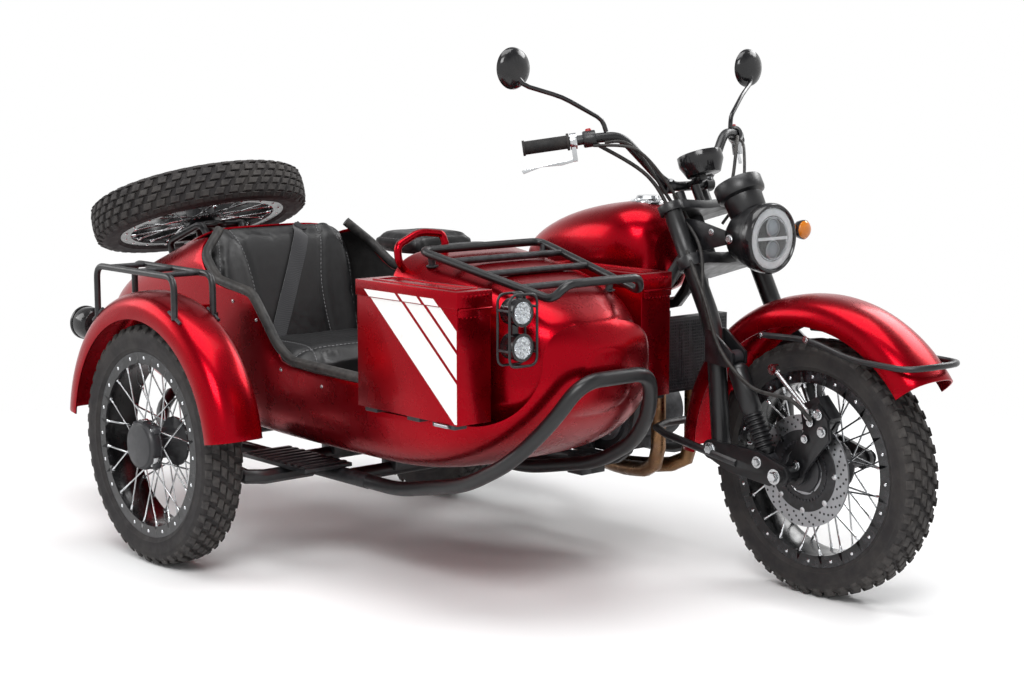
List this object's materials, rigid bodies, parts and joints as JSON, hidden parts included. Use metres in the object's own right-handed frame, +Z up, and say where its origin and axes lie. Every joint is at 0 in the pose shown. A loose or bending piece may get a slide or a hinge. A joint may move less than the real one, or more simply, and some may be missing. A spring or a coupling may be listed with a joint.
{
  "type": "sidecar motorcycle",
  "caption": "Leading-link motorcycle with a hollow passenger sidecar, side boxes and a spare wheel; it steers, rolls, and its lids open.",
  "frame": {"origin": "middle of the machine's footprint, on the ground", "axes": "+X forward, +Y to the rider's left, +Z up; the sidecar is on the -Y side"},
  "size_m": [2.5824, 1.6174, 1.3295],
  "materials": {
    "red_paint": "gloss",
    "black_frame": "satin",
    "engine_black": "satin",
    "radiator_black": "matt",
    "heated_steel": "satin",
    "polished": "polished",
    "leather": "satin",
    "seat_board": "matt",
    "webbing": "matt",
    "tyre": "matt",
    "wire_wheel": "satin",
    "lamp_shell": "polished",
    "dash_black": "gloss",
    "grip_rubber": "matt",
    "amber": "gloss",
    "red_lens": "gloss"
  },
  "bodies": {
    "chassis": {"bike_frame": "black_frame", "engine": "engine_black", "radiator": "radiator_black", "exhaust": "heated_steel", "fuel_tank": "red_paint", "filler_cap": "polished", "rider_seat": "leather", "pillion_seat": "leather", "rear_fender": "red_paint", "swingarm": "black_frame", "rear_shocks": "black_frame", "bike_tail_lamp": "red_lens", "foot_pegs": "black_frame", "sidecar_frame": "black_frame", "sidecar_tub": "red_paint", "sidecar_tail": "red_paint", "sidecar_deck": "red_paint", "sidecar_nose": "red_paint", "cockpit_rail": "black_frame", "seat_base": "seat_board", "seat_cushion": "leather", "seat_back": "leather", "seat_belt": "webbing", "right_box": "red_paint", "left_box": "red_paint", "grab_handle": "red_paint", "nose_rack": "black_frame", "crash_bar": "black_frame", "spot_lamps": "dash_black", "step_board": "black_frame", "sidecar_axle": "black_frame", "sidecar_fender": "red_paint", "fender_rack": "black_frame", "sidecar_tail_lamp": "dash_black"},
    "steering": {"fork": "black_frame", "leading_link": "black_frame", "front_shocks": "black_frame", "front_fender": "red_paint", "fender_guard": "black_frame", "headlamp": "lamp_shell", "instrument": "dash_black", "handlebar": "black_frame", "grips": "grip_rubber", "levers": "polished", "mirrors": "dash_black", "indicator": "amber", "caliper": "engine_black"},
    "front_wheel": {"front_tyre": "tyre", "front_wheel": "wire_wheel"},
    "rear_wheel": {"rear_tyre": "tyre", "rear_wheel": "wire_wheel"},
    "sidecar_wheel": {"sidecar_tyre": "tyre", "sidecar_wheel": "wire_wheel"},
    "right_lid": {"right_lid": "red_paint"},
    "left_lid": {"left_lid": "red_paint"},
    "trunk_lid": {"trunk_lid": "red_paint", "spare_carrier": "black_frame", "spare_tyre": "tyre", "spare_wheel": "wire_wheel"}
  },
  "joints": [
    {"name": "steering", "type": "hinge", "parent": "chassis", "child": "steering", "pos_m": [0.50715, 0.32625, 0.838], "axis": [-0.4695, 0, 0.8829], "range_deg": [-30, 30]},
    {"name": "front_spin", "type": "hinge", "parent": "steering", "child": "front_wheel", "pos_m": [0.93128, 0.32625, 0.315], "axis": [0, 1, 0], "continuous": true},
    {"name": "rear_spin", "type": "hinge", "parent": "chassis", "child": "rear_wheel", "pos_m": [-0.60572, 0.32625, 0.315], "axis": [0, 1, 0], "continuous": true},
    {"name": "sidecar_spin", "type": "hinge", "parent": "chassis", "child": "sidecar_wheel", "pos_m": [-0.38872, -0.73475, 0.315], "axis": [0, 1, 0], "continuous": true},
    {"name": "right_lid_hinge", "type": "hinge", "parent": "chassis", "child": "right_lid", "pos_m": [0.60258, -0.50125, 0.739], "axis": [0, 1, 0], "range_deg": [0, 90]},
    {"name": "left_lid_hinge", "type": "hinge", "parent": "chassis", "child": "left_lid", "pos_m": [0.60258, 0.07975, 0.739], "axis": [0, 1, 0], "range_deg": [0, 90]},
    {"name": "trunk_hinge", "type": "hinge", "parent": "chassis", "child": "trunk_lid", "pos_m": [-1.09872, -0.21075, 0.6766], "axis": [0, -1, 0], "range_deg": [0, 60]}
  ]
}
